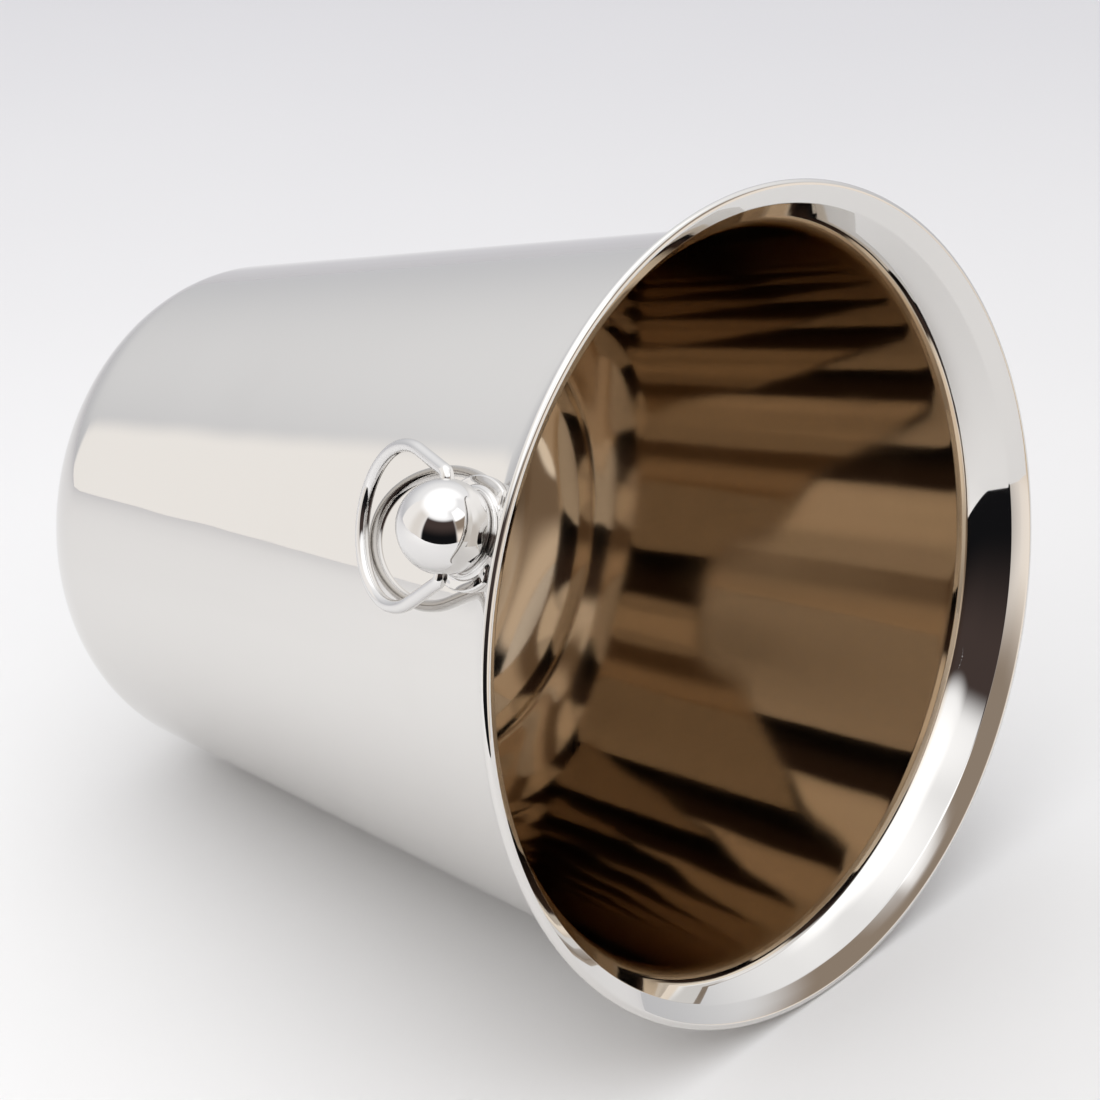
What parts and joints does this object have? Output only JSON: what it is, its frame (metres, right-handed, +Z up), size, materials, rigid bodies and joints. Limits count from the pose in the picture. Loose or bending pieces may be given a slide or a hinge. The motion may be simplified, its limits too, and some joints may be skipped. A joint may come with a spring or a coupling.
{
  "type": "champagne bucket",
  "caption": "Tapered mirror-polished steel wine bucket with a flared curled rim and, on each side, a round ball knob on a turned plate carrying a loose wire ring.",
  "frame": {"origin": "middle of the foot, on the surface that the upright bucket stands on", "axes": "+Z up along the bucket's axis, +X out through the right knob, -X out through the left knob, +Y the rest of the right-handed set"},
  "size_m": [0.2284, 0.215, 0.2115],
  "materials": {
    "bucket_steel": "mirror polished stainless steel, faint fine scratches",
    "knob_chrome": "bright plated, polished",
    "ring_chrome": "bright plated wire, polished, light rubbing at the hinge",
    "stud_steel": "plain rolled thread"
  },
  "bodies": {
    "bucket": {"bucket_shell": "bucket_steel", "plate_right": "knob_chrome", "ball_right": "knob_chrome", "weld_stud_right": "stud_steel", "plate_left": "knob_chrome", "ball_left": "knob_chrome", "weld_stud_left": "stud_steel"},
    "ring_right": {"ring_right": "ring_chrome"},
    "ring_left": {"ring_left": "ring_chrome"}
  },
  "joints": [
    {"name": "ring_right_swing", "type": "hinge", "parent": "bucket", "child": "ring_right", "pos_m": [0.10269, 0, 0.18865], "axis": [0.1045, -0.9884, -0.1101], "range_deg": [0, 175]},
    {"name": "ring_left_swing", "type": "hinge", "parent": "bucket", "child": "ring_left", "pos_m": [-0.10269, 0, 0.18865], "axis": [0, 1, 0], "range_deg": [0, 183]}
  ]
}
